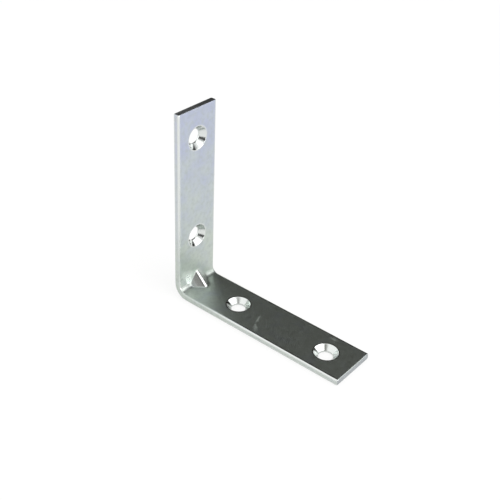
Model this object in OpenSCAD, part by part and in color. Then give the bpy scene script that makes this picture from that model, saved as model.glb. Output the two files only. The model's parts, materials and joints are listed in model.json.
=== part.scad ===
// Corner brace bent from one flat strip of zinc-plated steel.
// The base leg lies along +X and the upright stands along +Z.
// The two outer faces lie on z = 0 and x = 0, and the strip is centred on y = 0.

/* [Strip] */
// Length of each leg, from the outer faces' corner to the sheared end
leg_length = 75; // [60:1:120]
// Width of the strip
strip_width = 19; // [15:0.5:25]
// Thickness of the strip
thickness = 2.5; // [2.2:0.1:3]
// Radius of the rolled long edges of the strip
edge_radius = 0.6; // [0.3:0.05:1]

/* [Bend] */
// Inside radius of the bend between the legs
bend_inner_radius = 2; // [1:0.1:4]

/* [Corner rib] */
// Distance from each leg's inner face at which the rib's crest runs out, along the other leg
rib_reach = 5.5; // [3.5:0.1:6]
// Angle between each flank of the rib and its middle plane
rib_flank_angle = 47; // [36:1:50]
// Radius of the rib's rounded crest
rib_crest_radius = 1.3; // [0.5:0.05:1.5]
// Metal left between the crest and the pressed groove behind it
rib_wall = 2.4; // [2:0.1:3]
// Radius at the bottom of the pressed groove
groove_radius = 0.5; // [0.3:0.05:0.8]

/* [Screw holes] */
// Distance from the outer corner to the centre of the hole nearer the bend
first_hole_distance = 23.5; // [19:0.5:28]
// Distance from the sheared end to the centre of the hole nearer that end
end_hole_distance = 11.5; // [8:0.5:14]
// Diameter of the through hole
hole_diameter = 5.3; // [4:0.1:5.6]
// Diameter of the countersink where it meets the inner face
sink_diameter = 8.9; // [8:0.1:9.4]
// Full angle of the countersink
sink_angle = 90; // [88:1:100]

/* [Hidden] */
$fn = 96;

// Amount by which each cutting body passes the face that it cuts
overcut = 1;
bend_outer_radius = bend_inner_radius + thickness;
straight_length = leg_length - bend_outer_radius;
hole_distances = [first_hole_distance, leg_length - end_hole_distance];

// Distances measured from the outer corner along the diagonal between the legs
diagonal = sqrt(2);
rib_crest_height = (2 * thickness + rib_reach) / diagonal;
rib_root_height = thickness / diagonal;
groove_crest_height = rib_crest_height - rib_wall;

// Section of the flat strip with its rolled long edges, x across the thickness and y across the width
module strip_section() {
    edge_y = strip_width / 2 - edge_radius;
    translate([0, -edge_y])
        square([thickness, 2 * edge_y]);
    translate([edge_radius, -strip_width / 2])
        square([thickness - 2 * edge_radius, strip_width]);
    for (x = [edge_radius, thickness - edge_radius], y = [-edge_y, edge_y])
        translate([x, y])
            circle(r = edge_radius);
}

// Upright leg above the bend
module upright_leg() {
    translate([0, 0, bend_outer_radius])
        linear_extrude(height = straight_length)
            strip_section();
}

// Swaps the X and Z directions, which lays the upright's shapes on the base leg
module on_base_leg() {
    mirror([1, 0, -1])
        children();
}

// Quarter turn of the strip between the legs
module bend() {
    translate([bend_outer_radius, 0, bend_outer_radius])
        rotate([90, 0, 0])
            rotate([0, 0, 180])
                rotate_extrude(angle = 90)
                    translate([bend_outer_radius, 0])
                        mirror([1, 0])
                            strip_section();
}

// Upper end of a ridge: flanks at the rib's angle, tangent to a rounded crest, x across and y up to the crest
module ridge_section(crest_height, crest_radius, root_height) {
    centre_height = crest_height - crest_radius;
    tangent_x = crest_radius * cos(rib_flank_angle);
    tangent_y = centre_height + crest_radius * sin(rib_flank_angle);
    root_x = tangent_x + (tangent_y - root_height) * tan(rib_flank_angle);
    polygon([
        [-root_x, root_height],
        [root_x, root_height],
        [tangent_x, tangent_y],
        [-tangent_x, tangent_y]
    ]);
    translate([0, centre_height])
        circle(r = crest_radius);
}

// Runs a ridge section straight across the corner at 45 degrees to both legs
module across_corner(half_length) {
    rotate([0, 45, 0])
        rotate([0, 0, 90])
            rotate([90, 0, 0])
                translate([0, 0, -half_length])
                    linear_extrude(height = 2 * half_length)
                        children();
}

// Stiffening rib pressed into the inner corner, ending inside both legs
module rib() {
    inside = thickness / 2;
    span = rib_reach + thickness;
    intersection() {
        across_corner(rib_crest_height)
            ridge_section(rib_crest_height, rib_crest_radius, rib_root_height);
        translate([inside, -strip_width / 2, inside])
            cube([span, strip_width, span]);
    }
}

// Groove that the rib's punch leaves in the outer corner
module groove() {
    across_corner(2 * rib_crest_height)
        ridge_section(groove_crest_height, groove_radius, -overcut);
}

// Countersunk screw hole, drilled along X through the upright from its inner face
module screw_hole() {
    hole_r = hole_diameter / 2;
    sink_r = sink_diameter / 2;
    sink_slope = tan(sink_angle / 2);
    sink_depth = (sink_r - hole_r) / sink_slope;
    rotate([0, 90, 0]) {
        translate([0, 0, -overcut])
            cylinder(h = thickness + 2 * overcut, r = hole_r);
        translate([0, 0, thickness - sink_depth])
            cylinder(h = sink_depth + overcut, r1 = hole_r, r2 = sink_r + overcut * sink_slope);
    }
}

// All countersunk holes of one leg
module leg_holes() {
    for (z = hole_distances)
        translate([0, 0, z])
            screw_hole();
}

module corner_brace() {
    color("#b4bbbf")
        difference() {
            union() {
                upright_leg();
                on_base_leg()
                    upright_leg();
                bend();
                rib();
            }
            groove();
            leg_holes();
            on_base_leg()
                leg_holes();
        }
}

corner_brace();
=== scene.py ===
import json
import math

import bmesh
import bpy
from mathutils import Matrix, Quaternion, Vector


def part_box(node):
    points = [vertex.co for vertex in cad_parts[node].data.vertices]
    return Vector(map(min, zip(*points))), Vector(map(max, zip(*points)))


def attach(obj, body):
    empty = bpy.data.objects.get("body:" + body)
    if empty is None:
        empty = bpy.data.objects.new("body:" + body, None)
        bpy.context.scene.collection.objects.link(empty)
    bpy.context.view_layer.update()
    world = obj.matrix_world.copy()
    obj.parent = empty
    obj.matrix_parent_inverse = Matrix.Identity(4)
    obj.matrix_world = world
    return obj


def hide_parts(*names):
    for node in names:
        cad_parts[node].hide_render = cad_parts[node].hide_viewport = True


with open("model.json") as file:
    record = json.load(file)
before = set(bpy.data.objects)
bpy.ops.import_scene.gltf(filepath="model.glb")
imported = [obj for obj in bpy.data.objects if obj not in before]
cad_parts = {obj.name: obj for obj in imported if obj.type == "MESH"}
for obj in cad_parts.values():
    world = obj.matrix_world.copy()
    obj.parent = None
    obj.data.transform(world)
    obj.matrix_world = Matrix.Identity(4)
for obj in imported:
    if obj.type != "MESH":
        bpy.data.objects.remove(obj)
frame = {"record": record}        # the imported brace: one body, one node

bpy.context.view_layer.update()

# Lengths are in millimetres while a piece is made, and in metres once it is finished
METRES = 0.001

# Sizes of the brace: the box and the holes come from the frame, the rest are the strip's own
low, high = (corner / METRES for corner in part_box("corner_brace"))
LEG_LENGTH = high.x
STRIP_WIDTH = high.y - low.y
THICKNESS = 2.5
EDGE_RADIUS = 0.6
BEND_INNER_RADIUS = 2.0
BEND_OUTER_RADIUS = BEND_INNER_RADIUS + THICKNESS
HOLE_MOUNTS = [m for m in frame["record"]["mounts"] if m["name"].startswith("base_") and m["kind"] == "bore"]
HOLE_DISTANCES = [m["pos_m"][0] / METRES for m in HOLE_MOUNTS]
HOLE_RADIUS = HOLE_MOUNTS[0]["dims"]["r_mm"]
SINK_RADIUS = 4.45
SINK_SLOPE = math.radians(45)
SINK_DEPTH = (SINK_RADIUS - HOLE_RADIUS) / math.tan(SINK_SLOPE)

# The rib pressed into the inner corner, and the groove that its punch leaves outside
RIB_REACH = 5.5
RIB_CREST_HEIGHT = (2 * THICKNESS + RIB_REACH) / math.sqrt(2)
RIB_CREST_RADIUS = 1.3
RIB_FLANK_ANGLE = math.radians(47)
RIB_WALL = 2.4
GROOVE_RADIUS = 0.5

# The area that is pressed: half of its width across the strip, and its reach past the bend
RIB_HALF_WIDTH = 4.8
PRESSED_BEYOND_BEND = 5.0

# Fillet round the rib's foot, and the softer run-out that takes its place across the rib's far side
RIB_FILLET = 0.3
RIB_RUNOUT = 1.8
RUNOUT_FADE = 2.5

# What bending does to a thick strip: its edges spread inside the bend and draw in outside it
EDGE_SPREAD = 0.22
EDGE_DRAW_IN = 0.8

# The higher the power, the closer this keeps to the edges; it fades out a little way past the bend
EDGE_POWER = 8
STRAIN_BEYOND_BEND = 1.5
STRAIN_FADE = 4.0

# Low swell of the metal that the rib's punch pushes to one side
SWELL = 0.45
SWELL_REACH = 3.2
SWELL_START = 2.5
SWELL_FADE = 5.0

# Small radii that shearing, punching and plating leave
SHEARED_EDGE_RADIUS = 0.4
SINK_RIM_RADIUS = 0.12
HOLE_RIM_RADIUS = 0.25

# Polish that tools leave in the holes and on the strip's sides, as a share of a full one, and its fade
HOLE_POLISH = 0.9
HOLE_FADE = 0.3
# On the sides this lighter polish is also a painted highlight that makes the rolled edges' highlight lines
# brighter and wider
SIDE_POLISH_AND_PAINTED_HIGHLIGHT = 0.25
SIDE_FADE = 0.9

# The corners of the strip's sides are fully polished up to this distance from them, with a fade beyond it
CORNER_START = 0.3
CORNER_FADE = 0.7

# The sides and their corners take that polish along the legs, from this distance along the strip on
# Short of that distance, near the bend, the sides and corners stay darker: a painted shade for the dim floor
# they mirror there
ROLLED_START = 6.0
ROLLED_FADE = 26.0

# Painted highlight beside the rib on the upright, for the glow its flank reflects: its place along the
# strip, its reach, and where it starts across
RIB_SIDE_PAINTED_GLOW = 0.8
RIB_SIDE_PLACE = -4.0
RIB_SIDE_REACH = 3.2
RIB_SIDE_START = 2.0
RIB_SIDE_FADE = 2.5

# The rib's near flank loses this share of its polish towards its foot
FLANK_DULLING = 0.85
FLANK_START = 1.7
FLANK_FADE = 1.6

# Depth from each end over which the end faces take a darker grey
END_GREY_FADE = 0.2

# Scuffs on the base leg's inner face: place along and across the strip, turn in degrees, length and width
SCUFFS = [
    ((32.6, -1.9), -70, (6.4, 1.4)),
    ((34.9, -6.2), -48, (5.0, 1.8)),
    ((59.6, 7.3), 0, (4.0, 1.6)),
]

# Mesh density: columns across the strip, those that a hole's square patch spans each way, steps along it
COLUMNS = 52
PATCH_COLUMNS = 17
COLUMN = (STRIP_WIDTH - 2 * EDGE_RADIUS) / COLUMNS
PATCH_HALF = PATCH_COLUMNS * COLUMN
BEND_STEP = 0.22
LEG_STEP = 2.4

# Segments of the rolled and the sheared edges, and cuts in the flat between two rolled edges
ROLLED_SEGMENTS = 6
SHEARED_SEGMENTS = 3
SIDE_CUTS = 2

# Rings of a hole's mesh: steps over each rounded rim, shares of the way down the cone, a first step into
# the straight hole below it, and the width of the flat ring round each rim
RIM_STEPS = 4
CONE_SHARES = (0.25, 0.5, 0.75, 0.95, 1)
LAND_STEP = 0.1
FLAT_RING = 0.5

# A face looks along an axis when its normal has this share along it, and vertices this near are one
FACING = 0.99
TOUCHING = 1e-4

# Half of the floor's side in metres
FLOOR_HALF = 2.0

# Shares of the floor's own shading that the white background covers, so that the shadow stays faint:
# where the camera sees the floor, and where the metal mirrors it
SHADOW_FADE = 0.75
MIRRORED_FADE = 0.25

# Level of the even light from all round, and how far from the brace the soft boxes stand, in metres
FILL_LEVEL = 0.97
SOFT_BOX_DISTANCE = 0.7

# Dark sides of the room that the metal mirrors: direction, reach and soft edge in degrees, colour
DARK_SIDES = [
    ((-0.30, 0.73, 0.61), 18, 36, "#211f18"),
    ((-0.51, 0.23, 0.83), 10, 18, "#2c2920"),
    ((0.50, -0.60, 0.62), 8, 16, "#5c5b54"),
    ((0.84, -0.53, 0.09), 11, 8, "#0c0c0a"),
    ((0.29, 0.94, 0.19), 13, 9, "#10100e"),
]

# Flat length of the strip: s is 0 at the middle of the bend, positive along the base leg
BEND_HALF = (BEND_INNER_RADIUS + THICKNESS / 2) * math.pi / 4
FLAT_END = BEND_HALF + LEG_LENGTH - BEND_OUTER_RADIUS
FLAT_HOLES = [BEND_HALF + d - BEND_OUTER_RADIUS for d in HOLE_DISTANCES]
PRESSED_HALF = BEND_HALF + PRESSED_BEYOND_BEND


def linear(hex_colour):
    """sRGB hex colour as linear red, green, blue and full alpha."""
    parts = [int(hex_colour[i : i + 2], 16) / 255 for i in (1, 3, 5)]
    return (*(c / 12.92 if c <= 0.04045 else ((c + 0.055) / 1.055) ** 2.4 for c in parts), 1.0)


def rise(value, start, length):
    """0 up to the start and 1 a length beyond it, with a soft change between."""
    share = min(1.0, max(0.0, (value - start) / length))
    return share * share * (3 - 2 * share)


def add(tree, kind, inputs=(), **settings):
    """Adds a node with its settings; inputs holds values, or the sockets that feed it."""
    made = tree.nodes.new(kind)
    for name, value in settings.items():
        setattr(made, name, value)
    for name, value in dict(inputs).items():
        if isinstance(value, bpy.types.NodeSocket):
            tree.links.new(value, made.inputs[name])
        else:
            made.inputs[name].default_value = value
    return made


def camera():
    """Camera at the photograph's place, with its angles in degrees and its lengths in millimetres."""
    azimuth, elevation, roll = (math.radians(a) for a in (38.36, 33.92, 2.70))
    distance = 305.1
    aim = Vector((28.85, -1.39, 29.83))
    focal_pixels = 873.3
    frame_pixels = 500
    back = Vector((
        math.sin(azimuth) * math.cos(elevation),
        -math.cos(azimuth) * math.cos(elevation),
        math.sin(elevation),
    ))
    level = Vector((math.cos(azimuth), math.sin(azimuth), 0))
    across = (level * math.cos(roll) + back.cross(level) * math.sin(roll)).normalized()
    upward = back.cross(across)
    data = bpy.data.cameras.new("camera")
    data.lens = focal_pixels / frame_pixels * data.sensor_width
    made = bpy.data.objects.new("camera", data)
    turn = Matrix((across, upward, back)).transposed()
    made.matrix_world = Matrix.Translation((aim + back * distance) * METRES) @ turn.to_4x4()
    bpy.context.scene.collection.objects.link(made)
    bpy.context.scene.camera = made


def stations():
    """Places along the flat strip where its section is repeated, dense at the bend and the holes."""
    marks = [(PRESSED_HALF, BEND_STEP)]
    for hole in FLAT_HOLES:
        marks += [(hole - PATCH_HALF, LEG_STEP), (hole + PATCH_HALF, COLUMN)]
    marks.append((FLAT_END, LEG_STEP))
    half = [0.0]
    for mark, step in marks:
        start = half[-1]
        count = max(1, round((mark - start) / step))
        half += [start + (mark - start) * (i + 1) / count for i in range(count)]
    return [-s for s in reversed(half[1:])] + half


def strip_blank():
    """Flat strip with rolled edges: x along it, y across it, z the depth, which is 0 on the inner face."""
    bm = bmesh.new()
    places = stations()
    quarter = math.radians(90)
    turn_up = Matrix.Rotation(quarter, 4, "Z") @ Matrix.Rotation(quarter, 4, "X")
    section = bmesh.ops.create_grid(bm, x_segments=1, y_segments=1, size=0.5, matrix=turn_up)["verts"]
    bmesh.ops.scale(bm, verts=section, vec=(1, STRIP_WIDTH, THICKNESS))
    bmesh.ops.translate(bm, verts=section, vec=(places[0], 0, -THICKNESS / 2))
    bmesh.ops.bevel(
        bm, geom=bm.verts[:], offset=EDGE_RADIUS, offset_type="OFFSET", affect="VERTICES",
        segments=ROLLED_SEGMENTS, profile=0.5, material=-1,
    )
    bmesh.ops.delete(bm, geom=bm.faces[:], context="FACES_ONLY")
    wide = [e for e in bm.edges if e.calc_length() > STRIP_WIDTH / 2]
    narrow = [e for e in bm.edges if THICKNESS / 4 < e.calc_length() < THICKNESS]
    bmesh.ops.subdivide_edges(bm, edges=wide, cuts=COLUMNS - 1)
    bmesh.ops.subdivide_edges(bm, edges=narrow, cuts=SIDE_CUTS)
    ring = bm.edges[:]
    first = list(ring)
    for before, here in zip(places, places[1:]):
        grown = bmesh.ops.extrude_edge_only(bm, edges=ring)["geom"]
        bmesh.ops.translate(
            bm, verts=[g for g in grown if isinstance(g, bmesh.types.BMVert)], vec=(here - before, 0, 0)
        )
        ring = [g for g in grown if isinstance(g, bmesh.types.BMEdge)]
    for end in (first, ring):
        bmesh.ops.contextual_create(bm, geom=end)
    bmesh.ops.recalc_face_normals(bm, faces=bm.faces[:])
    ends = [f for f in bm.faces if abs(f.normal.x) > FACING]
    bmesh.ops.bevel(
        bm, geom=[e for f in ends for e in f.edges], offset=SHEARED_EDGE_RADIUS, offset_type="OFFSET",
        affect="EDGES", segments=SHEARED_SEGMENTS, profile=0.5, material=-1,
    )
    return bm


def hole_profile():
    """Half section of a countersunk hole as (radius, depth), from the inner face to the outer face."""
    rim, back = SINK_RIM_RADIUS, HOLE_RIM_RADIUS
    tangent = rim * math.tan(SINK_SLOPE / 2)
    points = [(SINK_RADIUS + FLAT_RING, 0)]
    for i in range(RIM_STEPS + 1):
        a = SINK_SLOPE * i / RIM_STEPS
        points.append((SINK_RADIUS + tangent - rim * math.sin(a), rim * (math.cos(a) - 1)))
    points += [
        (SINK_RADIUS + (HOLE_RADIUS - SINK_RADIUS) * share, -SINK_DEPTH * share) for share in CONE_SHARES
    ]
    points.append((HOLE_RADIUS, -SINK_DEPTH - LAND_STEP))
    for i in range(RIM_STEPS + 1):
        a = math.radians(90) * i / RIM_STEPS
        points.append((HOLE_RADIUS + back * (1 - math.cos(a)), -THICKNESS + back * (1 - math.sin(a))))
    points.append((HOLE_RADIUS + back + FLAT_RING, -THICKNESS))
    return points


def flat_faces(bm, place, half_length, half_width):
    """Faces of the strip's two broad sides in a rectangle round that place along it."""
    return [
        f for f in bm.faces
        if abs(f.normal.z) > FACING
        and abs(f.calc_center_median().x - place) < half_length
        and abs(f.calc_center_median().y) < half_width
    ]


def punch(bm, place):
    """Punches and countersinks one screw hole in the flat strip, its centre at that place along it."""
    inside = PATCH_HALF - COLUMN / 4
    cut = flat_faces(bm, place, inside, inside)
    cut_edges = {e for f in cut for e in f.edges}
    cut_faces = set(cut)
    squares = [e for e in cut_edges if sum(f in cut_faces for f in e.link_faces) == 1]
    bmesh.ops.delete(bm, geom=cut, context="FACES")
    profile = [bm.verts.new((place + r, 0, z)) for r, z in hole_profile()]
    line = [bm.edges.new(pair) for pair in zip(profile, profile[1:])]
    centre = (place, 0, 0)
    # As many steps as the square patch has columns round it, with the seam at one of its corners
    around = 4 * 2 * PATCH_COLUMNS
    bmesh.ops.rotate(bm, verts=profile, cent=centre, matrix=Matrix.Rotation(math.radians(45), 3, "Z"))
    before = set(bm.edges)
    bmesh.ops.spin(
        bm, geom=profile + line, cent=centre, axis=(0, 0, 1), angle=2 * math.pi, steps=around,
        use_merge=True, use_normal_flip=False, use_duplicate=False,
    )
    circles = [e for e in bm.edges if e not in before or e in line]
    circles = [e for e in circles if len(e.link_faces) == 1]
    for depth in (0, -THICKNESS):
        square, circle = (
            [e for e in loops if abs(e.verts[0].co.z - depth) < TOUCHING] for loops in (squares, circles)
        )
        rim = list({v for e in circle for v in e.verts})
        # Loops in one plane are matched the right way round only while one is lifted off it
        bmesh.ops.translate(bm, verts=rim, vec=(0, 0, THICKNESS))
        bmesh.ops.bridge_loops(bm, edges=square + circle)
        bmesh.ops.translate(bm, verts=rim, vec=(0, 0, -THICKNESS))


def refine_rib_area(bm):
    """Makes the mesh finer where the rib and its groove are pressed."""
    area = flat_faces(bm, 0, PRESSED_HALF, RIB_HALF_WIDTH)
    edges = list({e for f in area for e in f.edges})
    bmesh.ops.subdivide_edges(bm, edges=edges, cuts=1, use_grid_fill=True)


def polish_and_painted_light_at(place):
    """How far tools have rubbed the flat strip smooth there, as a share of a full polish, with painted
    highlights on the sides and beside the rib and painted shade on the sides near the bend.
    """
    from_hole = min(math.hypot(abs(place.x) - hole, place.y) for hole in FLAT_HOLES)
    rim_radius = SINK_RADIUS if place.z > -SINK_DEPTH else HOLE_RADIUS
    in_hole = 1 - rise(from_hole, rim_radius, HOLE_FADE)
    from_side = STRIP_WIDTH / 2 - abs(place.y)
    from_corner = math.hypot(from_side, min(-place.z, THICKNESS + place.z))
    # Lighter sides and corners paint their highlight lines brighter, and their darker run near the bend is
    # painted shade
    along_leg = rise(abs(place.x), ROLLED_START, ROLLED_FADE)
    on_side = (1 - rise(from_side, 0, SIDE_FADE)) * along_leg
    on_corner = (1 - rise(from_corner, CORNER_START, CORNER_FADE)) * along_leg
    # Painted highlight: a lighter patch beside the rib stands in for the glow that the rib's flank reflects
    # there
    painted_glow_beside_rib = math.exp(-(((place.x - RIB_SIDE_PLACE) / RIB_SIDE_REACH) ** 2))
    painted_glow_beside_rib *= rise(-place.y, RIB_SIDE_START, RIB_SIDE_FADE)
    painted_glow_beside_rib *= rise(place.z, -EDGE_RADIUS, EDGE_RADIUS)
    return max(HOLE_POLISH * in_hole, SIDE_POLISH_AND_PAINTED_HIGHLIGHT * on_side, on_corner, RIB_SIDE_PAINTED_GLOW * painted_glow_beside_rib)


def strain_edges(bm):
    """Spreads the strip's edges inside the bend, draws them in outside it, and swells one side."""
    for vert in bm.verts:
        s, y, z = vert.co
        near_bend = 1 - rise(abs(s), BEND_HALF + STRAIN_BEYOND_BEND - STRAIN_FADE, STRAIN_FADE)
        near_edge = (abs(y) / (STRIP_WIDTH / 2)) ** EDGE_POWER
        outside = -z / THICKNESS
        vert.co.y += math.copysign(EDGE_SPREAD * (1 - 2 * outside) * near_bend * near_edge, y)
        vert.co.z += EDGE_DRAW_IN * outside * near_bend * near_edge
        swell = SWELL * math.exp(-((s / SWELL_REACH) ** 2)) * rise(-y, SWELL_START, SWELL_FADE)
        vert.co.z += swell * (1 - outside)


def bend(bm):
    """Bends the flat strip a quarter turn: s > 0 becomes the base leg and s < 0 the upright."""
    for vert in bm.verts:
        s, y, z = vert.co
        radius = BEND_INNER_RADIUS - z
        beyond = max(0.0, abs(s) - BEND_HALF)
        turned = math.radians(45) * (1 - min(1, max(-1, s / BEND_HALF)))
        x = BEND_OUTER_RADIUS - radius * math.sin(turned) + (beyond if s > 0 else 0)
        up = BEND_OUTER_RADIUS - radius * math.cos(turned) + (beyond if s < 0 else 0)
        vert.co = (x, y, up)


def ridge(y, crest, radius):
    """Height of a straight ridge along the diagonal, with a rounded crest and flanks at the rib's angle."""
    y = abs(y)
    tangent = radius * math.cos(RIB_FLANK_ANGLE)
    if y < tangent:
        return crest - radius + math.sqrt(radius * radius - y * y)
    top = crest - radius + radius * math.sin(RIB_FLANK_ANGLE)
    return top - (y - tangent) / math.tan(RIB_FLANK_ANGLE)


def blended_top(a, b, fillet):
    """The higher of two heights, with a fillet where they meet."""
    share = max(fillet - abs(a - b), 0) / fillet
    return max(a, b) + share * share * fillet / 4


def press_rib(bm, flat_place, polish_and_painted_light):
    """Presses the corner inwards along the diagonal, into a rib inside and a groove outside."""
    diagonal = Vector((1, 0, 1)).normalized()
    for vert in bm.verts:
        y = vert.co.y
        height = vert.co.dot(diagonal)
        if vert[flat_place].z > -THICKNESS / 2:
            crest, radius, fillet = RIB_CREST_HEIGHT, RIB_CREST_RADIUS, RIB_FILLET
        else:
            crest, radius, fillet = RIB_CREST_HEIGHT - RIB_WALL, GROOVE_RADIUS, RIB_FILLET / 2
        fillet += (RIB_RUNOUT - RIB_FILLET) * rise(y, 0, RUNOUT_FADE)
        pressed = ridge(y, crest, radius)
        vert.co += diagonal * (blended_top(height, pressed, fillet) - height)
        # Pressing takes away the polish and painted highlights from before and leaves the punch's own polish
        from_before = vert[polish_and_painted_light] * (1 - rise(pressed - height, 0, fillet))
        from_punch = rise(pressed - height, fillet, fillet)
        from_punch *= 1 - FLANK_DULLING * rise(-y, FLANK_START, FLANK_FADE)
        vert[polish_and_painted_light] = max(from_before, from_punch)


def corner_brace():
    """The whole brace, made as the real one is: a flat strip is punched, bent and pressed."""
    bm = strip_blank()
    for place in FLAT_HOLES:
        punch(bm, place)
        punch(bm, -place)
    bmesh.ops.remove_doubles(bm, verts=bm.verts[:], dist=TOUCHING)
    refine_rib_area(bm)
    flat_place = bm.verts.layers.float_vector.new("flat_place")
    polish_and_painted_light = bm.verts.layers.float.new("polish_and_painted_light")
    sheared = bm.verts.layers.float.new("sheared")
    for vert in bm.verts:
        vert[flat_place] = vert.co
        vert[polish_and_painted_light] = polish_and_painted_light_at(vert.co)
        # The end faces take a darker grey, fading in over a short depth
        vert[sheared] = 1 - rise(FLAT_END - abs(vert.co.x), 0, END_GREY_FADE)
    strain_edges(bm)
    bend(bm)
    press_rib(bm, flat_place, polish_and_painted_light)
    bmesh.ops.recalc_face_normals(bm, faces=bm.faces[:])
    bmesh.ops.scale(bm, verts=bm.verts[:], vec=(METRES, METRES, METRES))
    for face in bm.faces:
        face.smooth = True
    mesh = bpy.data.meshes.new("formed_brace")
    bm.to_mesh(mesh)
    bm.free()
    made = bpy.data.objects.new("formed_brace", mesh)
    bpy.context.scene.collection.objects.link(made)
    weighted = made.modifiers.new("face_weighted_normals", "WEIGHTED_NORMAL")
    weighted.keep_sharp = True
    return made


def scuff(tree, place, centre, turn, size):
    """1 in the middle of a long oval scuff on the flat strip and 0 outside it; turn is in degrees."""
    full_within = 0.3
    oval = add(
        tree, "ShaderNodeMapping",
        {
            "Vector": place,
            "Location": (*centre, 0.0),
            "Rotation": (0.0, 0.0, math.radians(turn)),
            "Scale": (size[0] / 2, size[1] / 2, 1.0),
        },
        vector_type="TEXTURE",
    )
    away = add(tree, "ShaderNodeVectorMath", {0: oval.outputs[0]}, operation="LENGTH")
    return add(
        tree, "ShaderNodeMapRange",
        {"Value": away.outputs["Value"], "From Min": 1.0, "From Max": full_within},
    ).outputs["Result"]


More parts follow.
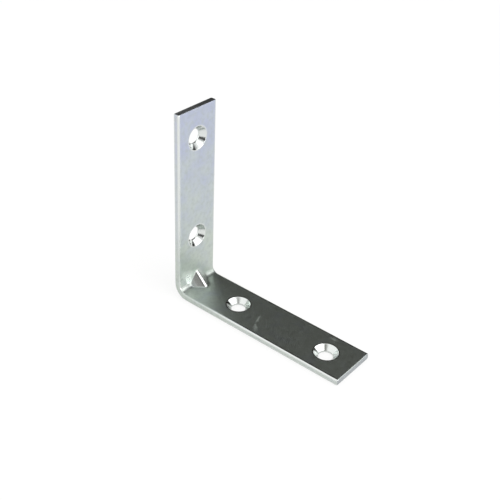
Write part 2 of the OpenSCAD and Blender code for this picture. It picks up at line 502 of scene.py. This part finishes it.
def zinc_plated_steel():
    """Bright zinc plate with a clear blue passivate, on cold-rolled steel strip."""
    # The plate gives a cool satin metal; the thin clear film over it makes it faintly cloudy and tinted
    # The fourth colour is bare zinc, which also serves as painted highlight on the sides and beside the rib
    greenish, bluish, cloud, bare_zinc_and_painted_highlight, end_face_grey = (
        linear(shade) for shade in ("#bcc4bd", "#aeb4c7", "#a5aca8", "#d6d9d7", "#a9adb0")
    )
    # Sizes in millimetres of the clouds in the film, the mottle of the plate and the lines of the rolling
    cloud_size, mottle_size = 7.0, 1.6
    rolling_length, rolling_width = 14.0, 0.35
    # The etched grain is a few hundredths of a millimetre, and is drawn this coarse so that it shows
    grain_size = 0.3
    # Places along the strip where the film is thickest and thinnest, and how far the clouds shift its tint
    film_thick_at, film_thin_at = -8.0, -72.0
    tint_spread = 1.6
    # The part of the mottle that is cloudy, how much of the cloud's colour it takes, and its roughness
    cloudy_range, cloudy_share = (0.45, 0.75), 0.6
    mottle_range, satin_range = (0.3, 0.7), (0.36, 0.46)
    polished_roughness, scuffed_roughness = 0.16, 0.55
    bump_strength, bump_height = 0.12, 0.06 * METRES
    made = bpy.data.materials.new("clear_passivated_zinc_plate")
    made.use_nodes = True
    tree = made.node_tree
    tree.nodes.clear()
    # Millimetres along, across and through the flat strip, so patterns turn the corner with the metal
    place = add(tree, "ShaderNodeAttribute", attribute_name="flat_place").outputs["Vector"]
    clouds = add(
        tree, "ShaderNodeTexNoise",
        {"Vector": place, "Scale": 1 / cloud_size, "Detail": 3.0, "Roughness": 0.55},
    )
    mottle = add(
        tree, "ShaderNodeTexNoise",
        {"Vector": place, "Scale": 1 / mottle_size, "Detail": 4.0, "Roughness": 0.6},
    )
    along = add(
        tree, "ShaderNodeMapping", {"Vector": place, "Scale": (1 / rolling_length, 1 / rolling_width, 1.0)}
    )
    rolling = add(tree, "ShaderNodeTexNoise", {"Vector": along.outputs[0], "Scale": 1.0, "Detail": 3.0})
    grain = add(tree, "ShaderNodeTexNoise", {"Vector": place, "Scale": 1 / grain_size, "Detail": 2.0})
    # The passivate film looks bluish where it is thin, up the upright, and greener where it has gathered
    along_strip = add(tree, "ShaderNodeSeparateXYZ", {"Vector": place}).outputs["X"]
    thin_film = add(
        tree, "ShaderNodeMapRange",
        {"Value": along_strip, "From Min": film_thick_at, "From Max": film_thin_at},
    )
    spread = add(
        tree, "ShaderNodeMath", {0: clouds.outputs["Fac"], 1: tint_spread, 2: -tint_spread / 2},
        operation="MULTIPLY_ADD",
    )
    blend = add(
        tree, "ShaderNodeMath", {0: thin_film.outputs["Result"], 1: spread.outputs[0]},
        operation="ADD", use_clamp=True,
    )
    tint = add(
        tree, "ShaderNodeMix", {"Factor": blend.outputs[0], "A": greenish, "B": bluish}, data_type="RGBA"
    )
    cloudy = add(
        tree, "ShaderNodeMapRange",
        {
            "Value": mottle.outputs["Fac"],
            "From Min": cloudy_range[0],
            "From Max": cloudy_range[1],
            "To Max": cloudy_share,
        },
    )
    clouded = add(
        tree, "ShaderNodeMix",
        {"Factor": cloudy.outputs["Result"], "A": tint.outputs["Result"], "B": cloud},
        data_type="RGBA",
    )
    # Polish lightens the metal towards bare zinc; on the sides and beside the rib this is painted highlight,
    # and its lack near the bend painted shade
    polish_and_light_share = add(tree, "ShaderNodeAttribute", attribute_name="polish_and_painted_light").outputs["Fac"]
    with_polish_and_light = add(
        tree, "ShaderNodeMix",
        {"Factor": polish_and_light_share, "A": clouded.outputs["Result"], "B": bare_zinc_and_painted_highlight},
        data_type="RGBA",
    )
    # The end faces take a darker grey
    on_end = add(tree, "ShaderNodeAttribute", attribute_name="sheared").outputs["Fac"]
    ends_greyed = add(
        tree, "ShaderNodeMix",
        {"Factor": on_end, "A": with_polish_and_light.outputs["Result"], "B": end_face_grey},
        data_type="RGBA",
    )
    etched = add(
        tree, "ShaderNodeMapRange",
        {
            "Value": mottle.outputs["Fac"],
            "From Min": mottle_range[0],
            "From Max": mottle_range[1],
            "To Min": satin_range[0],
            "To Max": satin_range[1],
        },
    )
    worked = add(
        tree, "ShaderNodeMix",
        {"Factor": polish_and_light_share, "A": etched.outputs["Result"], "B": polished_roughness},
        data_type="FLOAT",
    )
    scuffed = 0.0
    for centre, turn, size in SCUFFS:
        mark = scuff(tree, place, centre, turn, size)
        scuffed = add(tree, "ShaderNodeMath", {0: scuffed, 1: mark}, operation="MAXIMUM").outputs[0]
    roughness = add(
        tree, "ShaderNodeMix",
        {"Factor": scuffed, "A": worked.outputs["Result"], "B": scuffed_roughness},
        data_type="FLOAT",
    )
    height = add(
        tree, "ShaderNodeMath", {0: rolling.outputs["Fac"], 1: grain.outputs["Fac"]}, operation="ADD"
    )
    bump = add(
        tree, "ShaderNodeBump",
        {"Height": height.outputs[0], "Strength": bump_strength, "Distance": bump_height},
    )
    surface = add(
        tree, "ShaderNodeBsdfPrincipled",
        {
            "Base Color": ends_greyed.outputs["Result"],
            "Metallic": 1.0,
            "Roughness": roughness.outputs["Result"],
            "Normal": bump.outputs["Normal"],
        },
    )
    output = add(tree, "ShaderNodeOutputMaterial")
    tree.links.new(surface.outputs["BSDF"], output.inputs["Surface"])
    return made


def background_rays(tree, rays):
    """1 for the rays that show the white background: from the camera, or by way of a mirror or glass."""
    seen = add(
        tree, "ShaderNodeMath", {0: rays["Is Camera Ray"], 1: rays["Is Glossy Ray"]}, operation="MAXIMUM"
    )
    return add(
        tree, "ShaderNodeMath", {0: seen.outputs[0], 1: rays["Is Transmission Ray"]}, operation="MAXIMUM"
    ).outputs[0]


def matt_white_paper():
    """Matt white paper: an even pale ground with no gloss, which takes a soft shadow."""
    made = bpy.data.materials.new("matt_white_paper")
    made.use_nodes = True
    tree = made.node_tree
    tree.nodes.clear()
    paper = add(tree, "ShaderNodeBsdfDiffuse", {"Color": linear("#f7f7f6")})
    glow = add(tree, "ShaderNodeEmission", {"Strength": 1.0})
    rays = add(tree, "ShaderNodeLightPath").outputs
    mirrored = add(
        tree, "ShaderNodeMath", {0: background_rays(tree, rays), 1: MIRRORED_FADE}, operation="MULTIPLY"
    )
    whitened = add(
        tree, "ShaderNodeMix",
        {"Factor": rays["Is Camera Ray"], "A": mirrored.outputs[0], "B": SHADOW_FADE},
        data_type="FLOAT",
    )
    mixed = add(
        tree, "ShaderNodeMixShader",
        {"Fac": whitened.outputs["Result"], 1: paper.outputs[0], 2: glow.outputs[0]},
    )
    output = add(tree, "ShaderNodeOutputMaterial")
    tree.links.new(mixed.outputs[0], output.inputs["Surface"])
    return made


def floor():
    """Wide pale floor under the brace."""
    bm = bmesh.new()
    bmesh.ops.create_grid(bm, x_segments=1, y_segments=1, size=FLOOR_HALF)
    mesh = bpy.data.meshes.new("floor")
    bm.to_mesh(mesh)
    bm.free()
    mesh.materials.append(matt_white_paper())
    made = bpy.data.objects.new("floor", mesh)
    bpy.context.scene.collection.objects.link(made)


def surroundings():
    """White surroundings with the dark sides of the room, which only the metal mirrors."""
    world = bpy.data.worlds.new("white_sweep")
    world.use_nodes = True
    bpy.context.scene.world = world
    tree = world.node_tree
    tree.nodes.clear()
    rays = add(tree, "ShaderNodeLightPath").outputs
    direction = add(tree, "ShaderNodeTexCoord").outputs["Generated"]
    white = linear("#ffffff")
    mirrored = white
    for toward, reach, edge, shade in DARK_SIDES:
        near = add(
            tree, "ShaderNodeVectorMath",
            {0: direction, 1: Vector(toward).normalized()},
            operation="DOT_PRODUCT",
        )
        covered = add(
            tree, "ShaderNodeMapRange",
            {
                "Value": near.outputs["Value"],
                "From Min": math.cos(math.radians(reach + edge)),
                "From Max": math.cos(math.radians(reach)),
            },
            interpolation_type="SMOOTHSTEP",
        )
        mirrored = add(
            tree, "ShaderNodeMix",
            {"Factor": covered.outputs["Result"], "A": mirrored, "B": linear(shade)},
            data_type="RGBA",
        ).outputs["Result"]
    backdrop = add(
        tree, "ShaderNodeMix", {"Factor": rays["Is Glossy Ray"], "A": white, "B": mirrored}, data_type="RGBA"
    )
    strength = add(
        tree, "ShaderNodeMapRange",
        {"Value": background_rays(tree, rays), "To Min": FILL_LEVEL, "To Max": 1.0},
    )
    background = add(
        tree, "ShaderNodeBackground",
        {"Color": backdrop.outputs["Result"], "Strength": strength.outputs["Result"]},
    )
    output = add(tree, "ShaderNodeOutputWorld")
    tree.links.new(background.outputs[0], output.inputs["Surface"])


def soft_box(name, azimuth, elevation, size, level, lean=0):
    """Soft box of a width and height in metres, facing the brace; the azimuth counts from the base leg."""
    a, e = math.radians(azimuth), math.radians(elevation)
    toward = Vector((math.cos(a) * math.cos(e), math.sin(a) * math.cos(e), math.sin(e)))
    centre = Vector((LEG_LENGTH / 3, 0, LEG_LENGTH / 3)) * METRES
    data = bpy.data.lights.new(name, "AREA")
    data.shape = "RECTANGLE"
    data.size, data.size_y = size
    # The power grows with the area, so that the brightness seen in the metal follows the level alone
    data.energy = level * math.pi * data.size * data.size_y
    made = bpy.data.objects.new(name, data)
    made.location = centre + toward * SOFT_BOX_DISTANCE
    made.rotation_mode = "QUATERNION"
    made.rotation_quaternion = toward.to_track_quat("Z", "Y") @ Quaternion((0, 0, 1), math.radians(lean))
    bpy.context.scene.collection.objects.link(made)


camera()
brace = corner_brace()
brace.data.materials.append(zinc_plated_steel())
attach(brace, "root")
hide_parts("corner_brace")
floor()
surroundings()
soft_box("back_soft_box", azimuth=30, elevation=35, size=(0.75, 0.26), level=1.5, lean=-25)
soft_box("right_soft_box", azimuth=0, elevation=5, size=(0.45, 0.24), level=6.0)
soft_box("front_soft_box", azimuth=-14, elevation=42, size=(0.3, 0.2), level=1.0)
soft_box("left_soft_box", azimuth=-122, elevation=42, size=(1.4, 1.1), level=0.3)
bpy.context.scene.view_settings.view_transform = "Standard"

bpy.context.view_layer.update()
